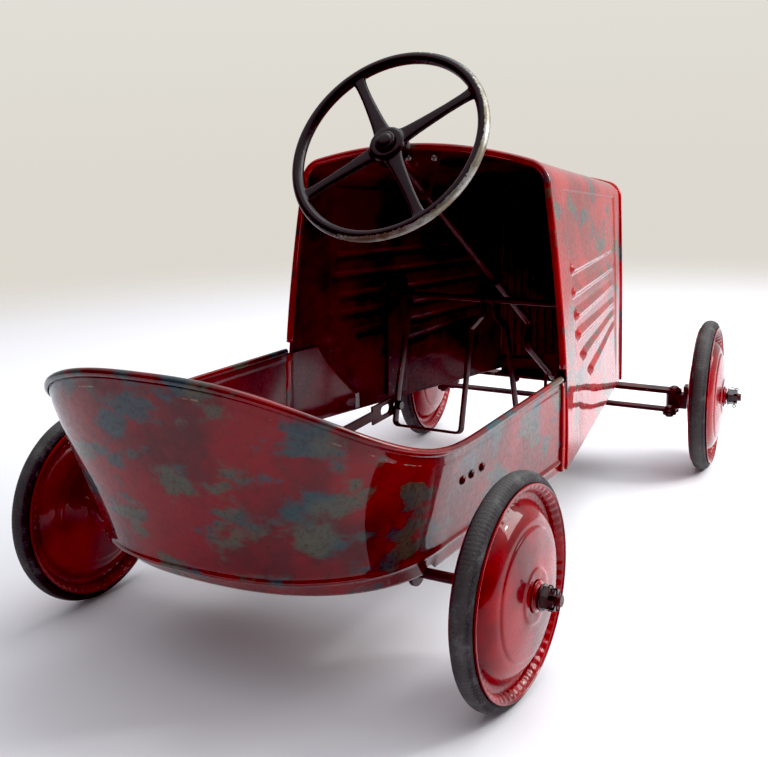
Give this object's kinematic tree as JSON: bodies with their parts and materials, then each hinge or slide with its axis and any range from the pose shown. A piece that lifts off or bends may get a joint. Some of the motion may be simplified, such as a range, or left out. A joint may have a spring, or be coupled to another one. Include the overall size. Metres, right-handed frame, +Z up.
{
  "type": "pedal car",
  "caption": "Child's pressed-steel pedal car with a tapered cowl, a scooped tail, disc wheels, a four-spoke steering wheel, and pedals that drive a crank axle.",
  "frame": {"origin": "middle of the overall box on the ground, under the car", "axes": "+X to the car's right, +Y forwards, +Z up"},
  "size_m": [0.57, 0.97, 0.5521],
  "materials": {
    "cowl_paint": "deep red gloss enamel, crazed and worn through to grey-green primer in patches",
    "tail_paint": "deep red gloss enamel with worn, tan edges",
    "wheel_paint": "brighter red gloss enamel on pressed steel",
    "tyre": "solid rubber with fine cross ribs",
    "chassis_paint": "very dark maroon enamel on bar steel, rusty at the joints",
    "black_paint": "black enamel worn to bare metal on the rim",
    "bare_steel": "dull blackened steel",
    "seat_board": "stained board"
  },
  "bodies": {
    "root": {"cowl": "cowl_paint", "cowl_rim_wire": "cowl_paint", "grille_panel": "cowl_paint", "tail_panel": "tail_paint", "tail_rim_wire": "tail_paint", "pillar_beads": "tail_paint", "front_crossmember": "chassis_paint", "axle_beam": "chassis_paint", "beam_bolts": "chassis_paint", "king_pins": "chassis_paint", "side_braces": "chassis_paint", "cross_bar": "chassis_paint", "column_hanger": "chassis_paint", "dash_bracket": "chassis_paint", "dash_bolts": "bare_steel", "seat": "seat_board", "seat_rail_left": "chassis_paint", "seat_rail_right": "chassis_paint", "axle_bracket_left": "chassis_paint", "axle_bracket_right": "chassis_paint", "bracket_bolts": "bare_steel", "side_rivets": "bare_steel"},
    "steering": {"steering_wheel": "black_paint", "steering_cap": "black_paint", "steering_column": "chassis_paint"},
    "stub_left": {"stub_axle_left": "chassis_paint", "arm_pin_left": "chassis_paint", "front_nut_left": "bare_steel"},
    "stub_right": {"stub_axle_right": "chassis_paint", "arm_pin_right": "chassis_paint", "front_nut_right": "bare_steel"},
    "tie_rod": {"tie_rod": "chassis_paint"},
    "crank": {"crank_axle": "chassis_paint", "rear_nuts": "bare_steel", "rear_tyre_right": "tyre", "rear_outer_disc_right": "wheel_paint", "rear_inner_disc_right": "wheel_paint", "rear_hub_right": "wheel_paint"},
    "rear_wheel_left": {"rear_tyre_left": "tyre", "rear_outer_disc_left": "wheel_paint", "rear_inner_disc_left": "wheel_paint", "rear_hub_left": "wheel_paint"},
    "front_wheel_left": {"front_tyre_left": "tyre", "front_outer_disc_left": "wheel_paint", "front_inner_disc_left": "wheel_paint", "front_hub_left": "wheel_paint"},
    "front_wheel_right": {"front_tyre_right": "tyre", "front_outer_disc_right": "wheel_paint", "front_inner_disc_right": "wheel_paint", "front_hub_right": "wheel_paint"},
    "pedal_left": {"pedal_left": "chassis_paint", "pedal_bolt_left": "bare_steel"},
    "pedal_right": {"pedal_right": "chassis_paint", "pedal_bolt_right": "bare_steel"},
    "push_rod_left": {"push_rod_left": "chassis_paint"},
    "push_rod_right": {"push_rod_right": "chassis_paint"}
  },
  "joints": [
    {"name": "steering", "type": "hinge", "parent": "root", "child": "steering", "pos_m": [0, -0.0914, 0.4583], "axis": [0, 0.8231, -0.5678], "range_deg": [-21, 40]},
    {"name": "stub_left_turn", "type": "hinge", "parent": "root", "child": "stub_left", "pos_m": [-0.171, 0.3783, 0.092], "axis": [0, 0, 1], "range_deg": [-34, 18]},
    {"name": "stub_right_turn", "type": "hinge", "parent": "root", "child": "stub_right", "pos_m": [0.171, 0.3783, 0.092], "axis": [0, 0, 1], "range_deg": [-34, 18]},
    {"name": "tie_rod_pivot", "type": "hinge", "parent": "stub_left", "child": "tie_rod", "pos_m": [-0.16543, 0.33869, 0.0884], "axis": [0, 0, 1], "range_deg": [-18, 34]},
    {"name": "front_wheel_left_spin", "type": "hinge", "parent": "stub_left", "child": "front_wheel_left", "pos_m": [-0.21358, 0.37232, 0.1016], "axis": [0.9903, 0.1392, 0], "continuous": true},
    {"name": "front_wheel_right_spin", "type": "hinge", "parent": "stub_right", "child": "front_wheel_right", "pos_m": [0.21358, 0.38428, 0.1016], "axis": [0.9903, 0.1392, 0], "continuous": true},
    {"name": "crank_spin", "type": "hinge", "parent": "root", "child": "crank", "pos_m": [0, -0.3167, 0.1016], "axis": [1, 0, 0], "continuous": true},
    {"name": "rear_wheel_left_spin", "type": "hinge", "parent": "crank", "child": "rear_wheel_left", "pos_m": [-0.24, -0.3167, 0.1016], "axis": [1, 0, 0], "continuous": true},
    {"name": "push_rod_left_pivot", "type": "hinge", "parent": "crank", "child": "push_rod_left", "pos_m": [-0.1201, -0.3527, 0.1016], "axis": [1, 0, 0], "continuous": true},
    {"name": "push_rod_right_pivot", "type": "hinge", "parent": "crank", "child": "push_rod_right", "pos_m": [0.1201, -0.2807, 0.1016], "axis": [1, 0, 0], "continuous": true},
    {"name": "pedal_left_swing", "type": "hinge", "parent": "root", "child": "pedal_left", "pos_m": [-0.06, 0.1483, 0.258], "axis": [1, 0, 0], "range_deg": [0, 28.7]},
    {"name": "pedal_right_swing", "type": "hinge", "parent": "root", "child": "pedal_right", "pos_m": [0.06, 0.1483, 0.258], "axis": [1, 0, 0], "range_deg": [-28.7, 0]}
  ],
  "couplings": [
    {"joint": "stub_left_turn", "follows": "steering", "ratio": -0.85},
    {"joint": "stub_right_turn", "follows": "steering", "ratio": -0.85},
    {"joint": "tie_rod_pivot", "follows": "steering", "ratio": 0.85},
    {"joint": "push_rod_left_pivot", "follows": "crank_spin", "ratio": -1},
    {"joint": "push_rod_right_pivot", "follows": "crank_spin", "ratio": -1},
    {"joint": "pedal_right_swing", "follows": "pedal_left_swing", "ratio": -1}
  ]
}
